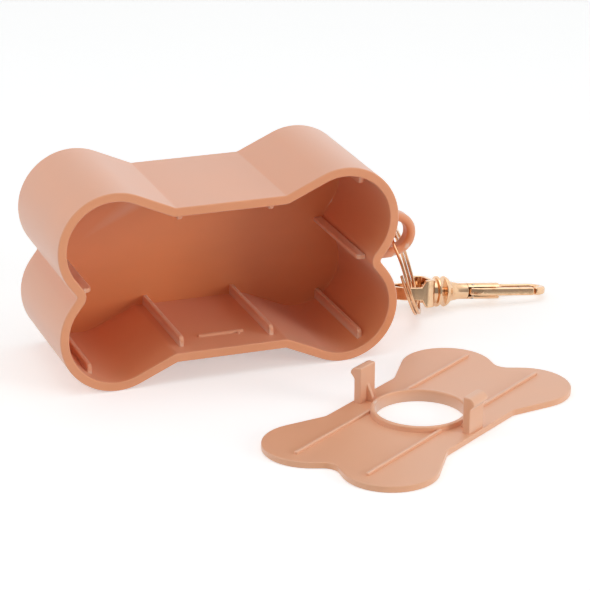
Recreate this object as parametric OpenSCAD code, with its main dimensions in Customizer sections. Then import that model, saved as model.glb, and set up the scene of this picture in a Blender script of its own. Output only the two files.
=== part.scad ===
// Waste bag dispenser for dog walks: a hollow moulded case of four joined lobes, a snap-in
// lid with a round bag outlet, shown taken off, and a split ring with a swivel snap hook.
// Origin: centre of the case's flat back face. +Y points out of the back, +X towards the
// ring, +Z up. The case stands on its two lower lobes.

/* [Case] */
// Length of the case over the lobes
case_l = 88; // [76:0.5:110]
// Height of the case over the lobes
case_h = 51.2; // [46:0.2:64]
// Depth of the case from rim to back
case_d = 38.4; // [30:0.2:60]
// Radius of each of the four lobes
lobe_r = 14.4; // [12.8:0.1:16]
// Length of each lobed end, up to the flat middle
end_l = 29.8; // [27:0.2:33]
// Depth of the flat middle below the lobes
waist_in = 5.5; // [4:0.1:8]
// Distance of each end notch outside the crossing of its two lobes
notch_out = 0.55; // [0.2:0.05:2]
// Radius in the corner between the flat middle and a lobe
waist_fillet = 1.0; // [0.4:0.1:2]
// Radius in the end notch between two lobes
notch_fillet = 0.8; // [0.3:0.1:1.6]
// Side wall thickness
wall = 2.3; // [1.6:0.1:3]
// Back wall thickness
back_wall = 2.8; // [1.6:0.1:4]

/* [Inner ribs] */
// Thickness of each rib inside the case
rib_t = 1.2; // [0.8:0.1:2]
// Distance from the rim to the front of the ribs
rib_front = 4.3; // [3:0.1:8]
// Height of the ribs on the flat middle
waist_rib_h = 2.5; // [1.5:0.1:4]
// Distance of the middle ribs from the ends of the flat middle
waist_rib_in = 2.4; // [1:0.1:8]
// Height of the ribs inside the lobes
lobe_rib_h = 2.3; // [1.5:0.1:4]
// Distance of the lobe ribs from the lobe's centre
lobe_rib_x = 6.0; // [2:0.1:8]
// Height of the rib on each notch
notch_rib_h = 1.7; // [1:0.1:3]

/* [Catch beads] */
// Length of the bead that each lid hook snaps behind
bead_l = 12; // [8:0.5:20]
// Radius of the bead
bead_r = 0.8; // [0.5:0.05:1.2]
// Distance from the rim to the bead
bead_y = 9.4; // [8:0.1:12]

/* [Lug] */
// Distance of the lug's bore from the case's end
lug_reach = 6.2; // [5.5:0.1:9]
// Bore radius
lug_bore_r = 3.5; // [3:0.1:4]
// Width of the band round the bore
lug_band = 2.4; // [2:0.1:3]
// Thickness of the lug
lug_t = 4.4; // [3:0.1:5]

/* [Lid] */
// Gap between the lid's edge and the case wall
lid_clear = 0.54; // [0.3:0.02:0.8]
// Lid plate thickness
lid_t = 1.6; // [1.2:0.1:2.4]
// Radius of the bag outlet
outlet_r = 10.8; // [8:0.1:12]
// Height of the lip round the outlet above the plate
lip_h = 1.4; // [0.8:0.1:3]
// Wall of the lip
lip_t = 1.2; // [0.8:0.1:1.6]
// Distance of the plate's ribs from its long axis
lid_rib_y = 10; // [8:0.1:11]
// Height of the plate's ribs
lid_rib_h = 0.7; // [0.4:0.1:1.5]
// Width of the plate's ribs
lid_rib_t = 0.9; // [0.6:0.1:1.5]
// Distance of the ribs' ends from the ends of the plate
lid_rib_end = 3.8; // [2.5:0.1:8]
// How far the lid lies in front of the rim
lid_away = 40.55; // [38:0.5:80]
// How far the lid lies to the side of the case's centre
lid_side = 33.6; // [20:0.5:60]
// Turn of the lid on the table
lid_turn = 34.3; // [20:0.5:40]

/* [Lid hooks] */
// Width of each snap hook
hook_w = 6.3; // [4:0.1:9]
// Offset of the hooks from the lid's middle
hook_x = -0.9; // [-3:0.1:3]
// Thickness of a hook's stem
hook_t = 2.0; // [1.4:0.1:2.6]
// Height of the hooks over the lid's outer face
hook_h = 10.7; // [9:0.1:13]
// Distance from a hook's stem to the case wall
stem_clear = 1.3; // [1.2:0.05:1.8]
// How far the barb stands out from the stem
barb_out = 1.1; // [0.9:0.05:1.15]
// Length of the barb's slope below its point
barb_drop = 1.4; // [0.8:0.1:2]
// Length of the barb's slope above its point
barb_lead = 1.4; // [0.8:0.1:2]
// Set-back of the hook's top edge from the stem's face
top_flat = 0.2; // [0:0.05:0.5]
// Height of the gusset behind each hook
gusset_h = 4.5; // [3:0.1:6]
// Reach of the gusset behind each hook
gusset_l = 2.2; // [1:0.1:2.3]
// Thickness of the gusset
gusset_t = 1.0; // [0.8:0.1:2]

/* [Split ring] */
// Mean radius of the split ring
ring_r = 11.4; // [11.2:0.1:13]
// Width of the flat wire, across the ring's band
wire_w = 1.5; // [1.2:0.1:1.7]
// Thickness of the flat wire
wire_t = 0.75; // [0.6:0.05:0.9]
// Gap between the two turns
turn_gap = 0.45; // [0.45:0.05:0.6]
// Distance from the bore's centre to the ring's wire
ring_seat = 1.2; // [1.1:0.05:1.5]
// Angle that the ring leans out from the case
ring_lean = 18.5; // [17:0.5:19.5]
// Turn of the ring in the lug
ring_twist = 20; // [18:0.5:22]
// Turn of the ring in its own plane, towards the back
ring_drag = 9; // [6:0.5:11]
// Place of the split, measured round the ring from the lug
split_at = -30; // [-40:5:-20]

/* [Swivel eye] */
// Length of the eye from its flange to its round end
eye_l = 13.4; // [13:0.1:16]
// Width of the eye
eye_w = 10.6; // [10.4:0.1:13]
// Thickness of the eye's strap
strap_t = 1.3; // [1:0.05:1.6]
// Height of the strap at the round end
strap_low = 3.4; // [2.8:0.1:3.8]
// Height of the strap beside the flange
strap_high = 7.2; // [5.8:0.1:7.6]
// Radius of the eye's flange
flange_r = 4.1; // [3.4:0.1:4.5]
// Thickness of the eye's flange
flange_t = 0.75; // [0.6:0.05:1.2]
// Length of the boss under the flange
boss_l = 1.15; // [0.8:0.05:2]
// Radius of the boss under the flange
boss_r = 3.0; // [2.4:0.1:3.4]
// Outer radius of the two corners beside the boss
eye_corner_r = 2.6; // [2:0.1:3.4]
// Length of the high part of the strap
strap_high_l = 3.0; // [2:0.1:4]
// Length of the taper between the high and the low strap
strap_taper_l = 1.2; // [0.5:0.1:2]

/* [Snap hook] */
// Radius of the post that the eye turns on
post_r = 1.2; // [1:0.05:1.5]
// Running clearance of the post in the eye
post_clear = 0.06; // [0.02:0.01:0.1]
// Radius of the post's peened head
head_r = 1.9; // [1.6:0.05:2.4]
// Thickness of the post's head
head_t = 1.0; // [0.8:0.1:1.4]
// End play of the post's head in the eye
head_gap = 0.2; // [0.1:0.05:0.4]
// Gap between the eye and the hook along the post
swivel_gap = 1.45; // [1:0.05:2]
// Length of the domed collar
collar_l = 1.9; // [1.2:0.1:3]
// Length of the neck's taper
neck_l = 2.2; // [1.5:0.1:4]
// Radius of the barrel
barrel_r = 2.15; // [2:0.05:2.6]
// Length of the barrel
barrel_l = 11.4; // [10:0.1:14]
// Thickness of the claw and gate
claw_t = 2.1; // [1.8:0.1:2.4]
// Width of the claw's rod
rod_w = 1.9; // [1.6:0.1:2.4]
// Clear width inside the claw
claw_gap = 5.0; // [4.8:0.1:7]
// Distance from the barrel's end to the claw's tip
claw_reach = 14.0; // [12:0.1:18]
// Length that the claw and the barrel's end share
claw_merge = 1.2; // [0.8:0.1:1.6]
// Chamfer on the barrel's end and the gate's tip
end_chamfer = 0.5; // [0.2:0.05:0.7]

/* [Gate] */
// Radius of the pivot pin
pin_r = 0.5; // [0.4:0.05:0.7]
// Running clearance of the gate on its pin
pin_clear = 0.06; // [0.02:0.01:0.1]
// Distance from the neck to the pivot pin
pin_at = 4.0; // [3:0.1:5]
// Distance of the pivot pin from the barrel's axis, towards the front
pin_off = 0.9; // [0.7:0.05:1.1]
// Radius of the gate's root round the pin
root_r = 1.1; // [1:0.05:1.3]
// Gap on each side of the gate in its slot
gate_side = 0.25; // [0.2:0.05:0.4]
// Gap round the gate's root in the slot
root_gap = 0.35; // [0.25:0.05:0.6]
// How far the gate stands proud of the barrel
gate_proud = 0.55; // [0.3:0.05:1]
// Distance from the pin to where the gate stands proud
gate_foot = 1.7; // [1.4:0.1:3]
// Gap between the gate's end and the claw's nose
nose_gap = 0.3; // [0.2:0.05:0.5]
// Length of the claw's nose
nose_l = 4.0; // [3:0.1:6]
// Depth of the slot past the barrel's axis
slot_deep = 1.2; // [1:0.05:1.4]

/* [Leaf spring] */
// Thickness of the leaf spring
leaf_t = 0.2; // [0.15:0.05:0.3]
// Gap between the leaf's edges and the gate's sides
leaf_side = 0.2; // [0.1:0.05:0.4]
// Length of the leaf's foot on the slot's floor
leaf_foot = 1.4; // [1:0.1:2]
// Distance from the barrel's end to the leaf's free end
leaf_back = 1.2; // [0.8:0.1:2]
// Gap between the leaf's free end and the gate
leaf_gap = 0.15; // [0.1:0.05:0.3]

/* [Lay of the clip] */
// How far the swivel lies outside the lug's bore
clip_out = 16.75; // [16:0.1:20]
// How far the swivel lies behind the lug's middle
clip_back = 6.8; // [6.4:0.1:8]
// Height of the swivel over the table
clip_up = 4.83; // [4.4:0.1:6]
// How far the swivel stays above the reach of the hanging ring
hang_slack = 0.8; // [0.8:0.05:1.5]
// Slope of the clip down to its tip
clip_slope = 5; // [3:0.5:8]
// Turn of the clip towards the front
clip_turn = 4; // [2:0.5:6]
// Roll of the eye about the clip's axis
eye_roll = 12; // [10:0.5:14]
// Roll of the snap hook about the clip's axis
hook_roll = 12; // [8:0.5:14]

/* [Hidden] */

$fn = 96;

copper = [0.80, 0.53, 0.37];
plated = [0.85, 0.62, 0.44];
steel = [0.70, 0.70, 0.70];

// small overlap that joins two solids of one piece
sink = 0.4;

table_z = -case_h / 2;
lobe_x = case_l / 2 - lobe_r;
lobe_z = case_h / 2 - lobe_r;
waist_x = case_l / 2 - end_l;
waist_z = case_h / 2 - waist_in;
lobe_cross = sqrt(max(0, pow(lobe_r, 2) - pow(lobe_z, 2)));
notch_x = lobe_x + lobe_cross + notch_out;
waist_rib_x = waist_x - waist_rib_in;
inner_waist_z = waist_z - wall;
rib_len = case_d - rib_front - back_wall / 2;

lug_x = case_l / 2 + lug_reach;
lug_y = -case_d / 2;
lug_r = lug_bore_r + lug_band;

// the swivel lies over the table, or hangs as low as the ring reaches
ring_reach = 2 * ring_r * cos(ring_lean);
clip_z = max(table_z + clip_up, hang_slack - ring_reach);

lid_off = wall + lid_clear;
lid_half_l = case_l / 2 - lid_off;
lid_y = -case_d - lid_away;

eye_end = -swivel_gap / 2;
boss_end = eye_end - flange_t;
loop_end = boss_end - boss_l;
eye_tip = eye_end - eye_l;
eye_half = eye_w / 2;
collar_end = swivel_gap / 2;
neck_start = collar_end + collar_l;
barrel_start = neck_start + neck_l;
barrel_end = barrel_start + barrel_l;
claw_out_r = claw_gap / 2 + rod_w;
claw_tip = barrel_end + claw_reach;
gate_front = -barrel_r - gate_proud;
gate_back = gate_front + rod_w;
claw_y = gate_front + claw_out_r;
claw_left_x = barrel_end + claw_out_r - claw_merge;
claw_right_x = claw_tip - claw_out_r;
pin_x = barrel_start + pin_at;
gate_tip = claw_tip - nose_l - nose_gap;
slot_half = claw_t / 2 + gate_side;

// direction at an angle in degrees
function dir(a) = [cos(a), sin(a)];

// angle of the outward normal of a line from a point that touches a circle about the origin
function touch_angle(p, r, side) = atan2(p.y, p.x) + side * acos(r / norm(p));

// meeting point of two edges with normals n0 and n1 that meet at p, moved in by off
function corner(p, n0, n1, off) = p - off * (n0 + n1) / (1 + n0 * n1);

lobe_c = [lobe_x, lobe_z];
waist_p = [waist_x, waist_z];
notch_p = [notch_x, 0];
waist_n = dir(touch_angle(waist_p - lobe_c, lobe_r, -1));
notch_n = dir(touch_angle(notch_p - lobe_c, lobe_r, 1));

// points of one quarter of the outline, moved in by off: waist corner, lobe, notch
function quarter(off) = [
    corner(waist_p, [0, 1], waist_n, off),
    lobe_c + (lobe_r - off) * waist_n,
    lobe_c + (lobe_r - off) * notch_n,
    corner(notch_p, notch_n, [notch_n.x, -notch_n.y], off)
];

// small fill of a hollow corner at p, with the arc that is tangent to both edges
module corner_fill(p, n0, n1, radius, off) {
    centre = corner(p, n0, n1, -radius);
    inside = corner(p, n0, n1, off + sink);
    difference() {
        polygon([centre - (radius + off) * n0, inside, centre - (radius + off) * n1]);
        translate(centre)
            circle(r = radius + off);
    }
}

// outline of the case moved in by off, in the XZ plane drawn as XY
module outline(off = 0) {
    q = quarter(off);
    right = [for (p = q) p, for (i = [2:-1:0]) [q[i].x, -q[i].y]];
    left = [for (i = [len(right) - 1:-1:0]) [-right[i].x, right[i].y]];
    polygon([for (p = right) p, for (p = left) p]);
    for (sx = [-1, 1])
        for (sz = [-1, 1]) {
            translate([sx * lobe_x, sz * lobe_z])
                circle(r = lobe_r - off);
            corner_fill([sx * waist_p.x, sz * waist_p.y], [0, sz],
                [sx * waist_n.x, sz * waist_n.y], waist_fillet, off);
        }
    for (sx = [-1, 1])
        corner_fill([sx * notch_p.x, 0], [sx * notch_n.x, notch_n.y],
            [sx * notch_n.x, -notch_n.y], notch_fillet, off);
}

// extrusion of a shape in the XZ plane from the depth y0 to the depth y1
module along_y(y0, y1) {
    translate([0, y1, 0])
        rotate([90, 0, 0])
            linear_extrude(y1 - y0)
                children();
}

module rib_shapes() {
    lobe_rib_at = lobe_x + lobe_rib_x;
    lobe_wall_z = lobe_z + sqrt(pow(lobe_r - wall, 2) - pow(lobe_rib_x, 2));
    notch_inner_x = quarter(wall)[3].x;
    intersection() {
        outline(wall / 2);
        for (sx = [-1, 1]) {
            for (sz = [-1, 1]) {
                translate([sx * waist_rib_x - rib_t / 2, sz > 0 ? inner_waist_z - waist_rib_h : -waist_z])
                    square([rib_t, waist_rib_h + wall]);
                translate([sx * lobe_rib_at - rib_t / 2, sz > 0 ? lobe_wall_z - lobe_rib_h : -case_h / 2])
                    square([rib_t, case_h / 2 - lobe_wall_z + lobe_rib_h]);
            }
            translate([sx > 0 ? notch_inner_x - notch_rib_h : -notch_x, -rib_t / 2])
                square([notch_x - notch_inner_x + notch_rib_h, rib_t]);
        }
    }
}

module lug_shape() {
    difference() {
        union() {
            translate([lug_x, 0])
                circle(r = lug_r);
            translate([lobe_x, -lug_r])
                square([lug_x - lobe_x, 2 * lug_r]);
        }
        outline(wall / 2);
        translate([lug_x, 0])
            circle(r = lug_bore_r);
    }
}

module case() {
    color(copper) {
        difference() {
            along_y(-case_d, 0)
                outline();
            along_y(-case_d - 1, -back_wall)
                outline(wall);
        }
        along_y(rib_front - case_d, rib_front - case_d + rib_len)
            rib_shapes();
        for (sz = [-1, 1])
            translate([0, bead_y - case_d, sz * inner_waist_z])
                rotate([0, 90, 0])
                    cylinder(h = bead_l, r = bead_r, center = true);
        along_y(lug_y - lug_t / 2, lug_y + lug_t / 2)
            lug_shape();
    }
}

// side view of one snap hook: stem, barb and lead-in, drawn in height over distance
module hook_side() {
    stem_out = inner_waist_z - stem_clear;
    barb_z = hook_h - barb_lead;
    polygon([
        [stem_out - hook_t, lid_t - sink],
        [stem_out - hook_t, hook_h],
        [stem_out - top_flat, hook_h],
        [stem_out + barb_out, barb_z],
        [stem_out, barb_z - barb_drop],
        [stem_out, lid_t - sink]
    ]);
}

module lid_hook() {
    stem_in = inner_waist_z - stem_clear - hook_t;
    translate([hook_x - hook_w / 2, 0, 0])
        rotate([90, 0, 90])
            linear_extrude(hook_w)
                hook_side();
    translate([hook_x - gusset_t / 2, 0, 0])
        rotate([90, 0, 90])
            linear_extrude(gusset_t)
                polygon([
                    [stem_in - gusset_l, lid_t - sink],
                    [stem_in - gusset_l, lid_t],
                    [stem_in, lid_t + gusset_h],
                    [stem_in + sink, lid_t + gusset_h],
                    [stem_in + sink, lid_t - sink]
                ]);
}

module lid() {
    rib_out = lid_half_l - lid_rib_end;
    rib_in = sqrt(pow(outlet_r + lip_t, 2) - pow(lid_rib_y + lid_rib_t / 2, 2)) - sink;
    color(copper)
        translate([lid_side, lid_y, table_z])
            rotate([0, 0, lid_turn])
                difference() {
                    union() {
                        linear_extrude(lid_t)
                            outline(lid_off);
                        cylinder(h = lid_t + lip_h, r = outlet_r + lip_t);
                        for (sx = [0, 1])
                            for (sy = [-1, 1])
                                mirror([sx, 0, 0])
                                    translate([rib_in, sy * lid_rib_y - lid_rib_t / 2, lid_t - sink])
                                        cube([rib_out - rib_in, lid_rib_t, lid_rib_h + sink]);
                        lid_hook();
                        mirror([0, 1, 0])
                            lid_hook();
                    }
                    translate([0, 0, -1])
                        cylinder(h = lid_t + lip_h + 2, r = outlet_r);
                }
}

// split ring: one flat wire of nearly two turns, which steps over at the split
turn_rings = 24;
turn_pitch = wire_t + turn_gap;
step_half = 25;
end_clear = 5;
wire_from = step_half + end_clear;
wire_to = 720 - wire_from;
wire_count = ceil((wire_to - wire_from) / (360 / turn_rings));
wire_hex = [
    [-wire_w / 2, 0], [-wire_w / 3, -wire_t / 2], [wire_w / 3, -wire_t / 2],
    [wire_w / 2, 0], [wire_w / 3, wire_t / 2], [-wire_w / 3, wire_t / 2]
];

function ease(t) = t <= 0 ? 0 : t >= 1 ? 1 : t * t * (3 - 2 * t);
function wire_axial(a) = turn_pitch * (0.5 - ease((a - 360 + step_half) / (2 * step_half)));
function wire_angle(i) = wire_from + (wire_to - wire_from) * i / wire_count;
function wire_point(a, radial, axial) = [
    wire_axial(a) + axial,
    (ring_r + radial) * sin(a + split_at),
    (ring_r + radial) * cos(a + split_at)
];
wire_points = [
    for (i = [0:wire_count]) for (h = wire_hex) wire_point(wire_angle(i), h[0], h[1])
];
sides = len(wire_hex);
wire_faces = concat(
    [[for (k = [0:sides - 1]) k]],
    [for (i = [0:wire_count - 1]) for (k = [0:sides - 1]) each [
        [i * sides + k, (i + 1) * sides + k, (i + 1) * sides + (k + 1) % sides],
        [i * sides + k, (i + 1) * sides + (k + 1) % sides, i * sides + (k + 1) % sides]
    ]],
    [[for (k = [sides - 1:-1:0]) wire_count * sides + k]]
);
// least distance between points of the first turn and points of the second
far_apart = turn_rings / 2;
wire_gap = min([
    for (i = [0:wire_count]) for (j = [i + far_apart:1:wire_count])
        for (k = [0:sides - 1]) for (m = [0:sides - 1])
            norm(wire_points[i * sides + k] - wire_points[j * sides + m])
]);
echo(split_ring_least_gap_mm = wire_gap);

module split_ring() {
    color(plated)
        translate([lug_x, lug_y, 0])
            rotate([0, -ring_lean, 0])
                rotate([0, 0, -ring_twist])
                    rotate([ring_drag, 0, 0])
                        translate([0, 0, -(ring_seat + ring_r)])
                            polyhedron(points = wire_points, faces = wire_faces, convexity = 6);
}

// frame of the clip: X along its axis to the tip, Y away from the front, Z up
module clip_frame(roll) {
    translate([lug_x + clip_out, lug_y + clip_back, clip_z])
        rotate([-roll, clip_slope, -clip_turn])
            children();
}

// cylinder along X from x0 to x1
module rod(x0, x1, r) {
    translate([x0, 0, 0])
        rotate([0, 90, 0])
            cylinder(h = x1 - x0, r = r);
}

// loop with one round end at x0 and two rounded corners at x1
module loop_shape(x0, x1, half, corner_r) {
    translate([x0 + half, 0])
        circle(r = half);
    translate([x0 + half, -half])
        square([x1 - corner_r - x0 - half, 2 * half]);
    translate([x0 + half, corner_r - half])
        square([x1 - x0 - half, 2 * (half - corner_r)]);
    for (s = [-1, 1])
        translate([x1 - corner_r, s * (half - corner_r)])
            circle(r = corner_r);
}

module swivel_eye() {
    high_x = loop_end - strap_high_l;
    low_x = high_x - strap_taper_l;
    color(plated)
        clip_frame(eye_roll)
            difference() {
                union() {
                    intersection() {
                        translate([0, 0, -strap_high / 2])
                            linear_extrude(strap_high)
                                difference() {
                                    loop_shape(eye_tip, loop_end, eye_half, eye_corner_r);
                                    loop_shape(eye_tip + strap_t, loop_end - strap_t,
                                        eye_half - strap_t, eye_corner_r - strap_t);
                                }
                        rotate([90, 0, 0])
                            linear_extrude(2 * eye_w, center = true)
                                polygon([
                                    [eye_tip - 1, -strap_low / 2], [low_x, -strap_low / 2],
                                    [high_x, -strap_high / 2], [loop_end + 1, -strap_high / 2],
                                    [loop_end + 1, strap_high / 2], [high_x, strap_high / 2],
                                    [low_x, strap_low / 2], [eye_tip - 1, strap_low / 2]
                                ]);
                    }
                    rod(loop_end - strap_t / 2, boss_end + flange_t / 2, boss_r);
                    rod(boss_end, eye_end, flange_r);
                }
                rod(loop_end - strap_t - 1, eye_end + 1, post_r + post_clear);
            }
}

// half section of the hook's turned part: distance along the axis over radius
module turned_section() {
    polygon([
        [collar_end, 0],
        [collar_end, flange_r],
        [collar_end + collar_l * 0.3, flange_r * 0.96],
        [collar_end + collar_l * 0.65, flange_r * 0.84],
        [neck_start, flange_r * 0.68],
        [barrel_start, barrel_r],
        [barrel_end - end_chamfer, barrel_r],
        [barrel_end, barrel_r - end_chamfer],
        [barrel_end, 0]
    ]);
}

module claw_shape() {
    cut_y = gate_back + gate_side;
    difference() {
        union() {
            for (x = [claw_left_x, claw_right_x])
                translate([x, claw_y])
                    circle(r = claw_out_r);
            translate([claw_left_x, claw_y - claw_out_r])
                square([claw_right_x - claw_left_x, 2 * claw_out_r]);
        }
        for (x = [claw_left_x, claw_right_x])
            translate([x, claw_y])
                circle(r = claw_gap / 2);
        translate([claw_left_x, claw_y - claw_gap / 2])
            square([claw_right_x - claw_left_x, claw_gap]);
        translate([barrel_start, gate_front - 1])
            square([gate_tip + nose_gap - barrel_start, cut_y - gate_front + 1]);
        translate([barrel_start, gate_front - 1])
            square([claw_left_x - barrel_start, slot_deep - gate_front + 1]);
    }
}

module hook_body() {
    post_end = loop_end - strap_t - head_gap;
    slot_start = pin_x - root_r - root_gap;
    color(plated)
        clip_frame(hook_roll)
            difference() {
                union() {
                    rod(post_end - head_t / 2, collar_end + sink, post_r);
                    rod(post_end - head_t, post_end, head_r);
                    difference() {
                        rotate([0, 90, 0])
                            rotate_extrude()
                                rotate([0, 0, 90])
                                    mirror([0, 1])
                                        turned_section();
                        translate([slot_start, -2 * barrel_r, -slot_half])
                            cube([barrel_end + 1 - slot_start, 2 * barrel_r + slot_deep, 2 * slot_half]);
                    }
                    translate([0, 0, -claw_t / 2])
                        linear_extrude(claw_t)
                            claw_shape();
                }
                translate([pin_x, -pin_off, -2 * barrel_r])
                    cylinder(h = 4 * barrel_r, r = pin_r);
            }
}

module gate_shape() {
    difference() {
        union() {
            translate([pin_x, -pin_off])
                circle(r = root_r);
            polygon([
                [pin_x, -pin_off - root_r],
                [pin_x + gate_foot, gate_front],
                [gate_tip - end_chamfer, gate_front],
                [gate_tip, gate_front + end_chamfer],
                [gate_tip, gate_back - end_chamfer],
                [gate_tip - end_chamfer, gate_back],
                [pin_x + gate_foot, gate_back],
                [pin_x, -pin_off + root_r]
            ]);
        }
        translate([pin_x, -pin_off])
            circle(r = pin_r + pin_clear);
    }
}

module gate() {
    color(plated)
        clip_frame(hook_roll)
            translate([0, 0, -claw_t / 2])
                linear_extrude(claw_t)
                    gate_shape();
}

module gate_pin() {
    pin_half = sqrt(pow(barrel_r, 2) - pow(pin_off, 2));
    color(steel)
        clip_frame(hook_roll)
            translate([pin_x, -pin_off, -pin_half])
                cylinder(h = 2 * pin_half, r = pin_r);
}

// bent leaf behind the gate: its foot lies on the slot's floor, its end leans on the gate
module gate_spring() {
    leaf_half = claw_t / 2 - leaf_side;
    foot_x = pin_x + root_r;
    bend_x = foot_x + leaf_foot;
    tip_x = barrel_end - leaf_back;
    tip_y = gate_back + leaf_gap;
    color(steel)
        clip_frame(hook_roll)
            translate([0, 0, -leaf_half])
                linear_extrude(2 * leaf_half)
                    polygon([
                        [foot_x, slot_deep], [bend_x, slot_deep],
                        [tip_x, tip_y + leaf_t], [tip_x, tip_y],
                        [bend_x - leaf_t, slot_deep - leaf_t], [foot_x, slot_deep - leaf_t]
                    ]);
}

case();
lid();
split_ring();
swivel_eye();
hook_body();
gate();
gate_pin();
gate_spring();
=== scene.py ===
from math import acos, asin, atan2, cos, pi, radians, sin, sqrt, tan

import bmesh
import bpy
from mathutils import Matrix, Vector


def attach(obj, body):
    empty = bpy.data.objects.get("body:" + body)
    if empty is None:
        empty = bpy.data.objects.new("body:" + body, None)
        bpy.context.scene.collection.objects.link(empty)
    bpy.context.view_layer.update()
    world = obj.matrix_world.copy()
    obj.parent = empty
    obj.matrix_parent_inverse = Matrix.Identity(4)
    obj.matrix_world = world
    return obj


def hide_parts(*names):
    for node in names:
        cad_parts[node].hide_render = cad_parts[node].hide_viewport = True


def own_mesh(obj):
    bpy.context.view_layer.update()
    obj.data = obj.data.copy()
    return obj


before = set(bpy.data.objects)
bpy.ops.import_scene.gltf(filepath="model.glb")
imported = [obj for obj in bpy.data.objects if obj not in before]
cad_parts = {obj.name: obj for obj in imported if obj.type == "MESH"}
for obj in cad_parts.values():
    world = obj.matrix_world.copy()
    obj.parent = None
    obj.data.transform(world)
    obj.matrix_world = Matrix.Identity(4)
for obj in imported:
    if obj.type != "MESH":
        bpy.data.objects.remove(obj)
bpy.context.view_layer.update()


# ---------------------------------------------------------------------------
# Case: a hollow injection moulding in satin copper-pink plastic, with four
# joined lobes, a flat back and an open mouth. Its ribs, catch beads and the
# ring's lug are moulded in one shot with the walls.
# ---------------------------------------------------------------------------

mm = 0.001
hair = 0.001 * mm

case_l = 88 * mm
case_h = 51.2 * mm
case_d = 38.4 * mm
lobe_r = 14.4 * mm
flat_half = case_l / 2 - 29.8 * mm
flat_z = case_h / 2 - 5.5 * mm
flat_round = 1.0 * mm
notch_round = 0.8 * mm
wall = 2.3 * mm
back_wall = 2.8 * mm
back_round = 0.8 * mm
inner_round = 0.25 * mm
rim_round = 0.35 * mm
lobe_steps = 56
corner_steps = 6

lobe_c = Vector((case_l / 2 - lobe_r, case_h / 2 - lobe_r, 0))
lobe_cross = sqrt(lobe_r ** 2 - lobe_c.y ** 2)
notch_x = lobe_c.x + lobe_cross + 0.55 * mm
flat_end = Vector((flat_half, flat_z, 0))
notch_p = Vector((notch_x, 0, 0))


def touch_angle(point, side):
    """Angle of the outward normal of the line from a point that touches the lobe."""
    away = point - lobe_c
    return atan2(away.y, away.x) + side * acos(lobe_r / away.length)


slope_angle = touch_angle(flat_end, -1)
notch_angle = touch_angle(notch_p, 1)
up = Vector((0, 1, 0))
slope_n = Vector((cos(slope_angle), sin(slope_angle), 0))
notch_n = Vector((cos(notch_angle), sin(notch_angle), 0))


def moved_in(point, n0, n1, off):
    """Corner of two edges with the normals n0 and n1, both moved in by off."""
    return point - off * (n0 + n1) / (1 + n0.dot(n1))


def flat_corner(off):
    """Where the flat middle meets the slope, with both moved in by off."""
    return moved_in(flat_end, up, slope_n, off)


def notch_corner(off):
    """The deepest point of the end notch, with both its sides moved in by off."""
    return moved_in(notch_p, notch_n, Vector((notch_n.x, -notch_n.y, 0)), off)


def bevel_corners(bm, corners, offset, steps):
    """Rounds corners of a flat face, from offset before each corner to offset after it."""
    bmesh.ops.bevel(bm, geom=corners, offset=offset, affect="VERTICES", segments=steps,
                    profile=0.5, material=-1)


def round_corners(bm, corners, radius, turn, steps):
    """Rounds corners of a flat face, each of which turns by the angle turn, to a radius."""
    bevel_corners(bm, corners, radius * tan(turn / 2), steps)


def join_up(bm, chain):
    """Draws an edge from each vertex of a chain to the next."""
    for a, b in zip(chain, chain[1:]):
        bm.edges.new((a, b))


def lobed_face(bm, off):
    """The case's outline as a face in the XY plane, moved in by off: a quarter, mirrored."""
    first = bm.verts.new(lobe_c + (lobe_r - off) * slope_n)
    arc = bmesh.ops.spin(bm, geom=[first], cent=lobe_c, axis=(0, 0, -1), dvec=(0, 0, 0),
                         angle=slope_angle - notch_angle, steps=lobe_steps)
    last = arc["geom_last"][0]
    middle = bm.verts.new((0, flat_z - off, 0))
    corner = bm.verts.new(flat_corner(off))
    notch = bm.verts.new(notch_corner(off))
    join_up(bm, (middle, corner, first))
    join_up(bm, (last, notch))
    for axis in ("X", "Y"):
        bmesh.ops.mirror(bm, geom=bm.verts[:] + bm.edges[:], matrix=Matrix.Identity(4),
                         merge_dist=hair, axis=axis)
    bmesh.ops.remove_doubles(bm, verts=bm.verts[:], dist=hair)
    bmesh.ops.edgeloop_fill(bm, edges=bm.edges[:])
    flats = [v for v in bm.verts if abs(abs(v.co.x) - flat_corner(off).x) < 10 * hair
             and abs(abs(v.co.y) - (flat_z - off)) < hair]
    round_corners(bm, flats, flat_round + off, slope_angle - pi / 2, corner_steps)
    notches = [v for v in bm.verts if abs(v.co.y) < hair]
    round_corners(bm, notches, notch_round + off, -2 * notch_angle, corner_steps)
    bm.faces.ensure_lookup_table()
    return bm.faces[0]


def push(bm, face, step):
    """Extrudes a face along step and gives the face at the far end."""
    alone = all(edge.is_boundary for edge in face.edges)
    made = bmesh.ops.extrude_face_region(bm, geom=[face])["geom"]
    bmesh.ops.translate(bm, verts=[g for g in made if isinstance(g, bmesh.types.BMVert)], vec=step)
    if not alone:
        bmesh.ops.delete(bm, geom=[face], context="FACES_ONLY")
    return next(g for g in made if isinstance(g, bmesh.types.BMFace))


def thicken(bm, depth):
    """Extrudes all the faces of a flat shape along Z."""
    made = bmesh.ops.extrude_face_region(bm, geom=bm.faces[:])["geom"]
    bmesh.ops.translate(bm, verts=[g for g in made if isinstance(g, bmesh.types.BMVert)],
                        vec=(0, 0, depth))


def soften(bm, width, steps=3, least=radians(35), where=None):
    """Rounds the sharp edges, or those of them for which where(edge) holds."""
    sharp = [e for e in bm.edges if e.is_manifold and e.calc_face_angle(0) > least
             and (where is None or where(e))]
    bmesh.ops.bevel(bm, geom=sharp, offset=width, affect="EDGES", segments=steps,
                    profile=0.5, material=-1)


def at_depth(depth):
    """Picks the edges that lie at one depth."""
    return lambda e: all(abs(v.co.z - depth) < hair for v in e.verts)


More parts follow.
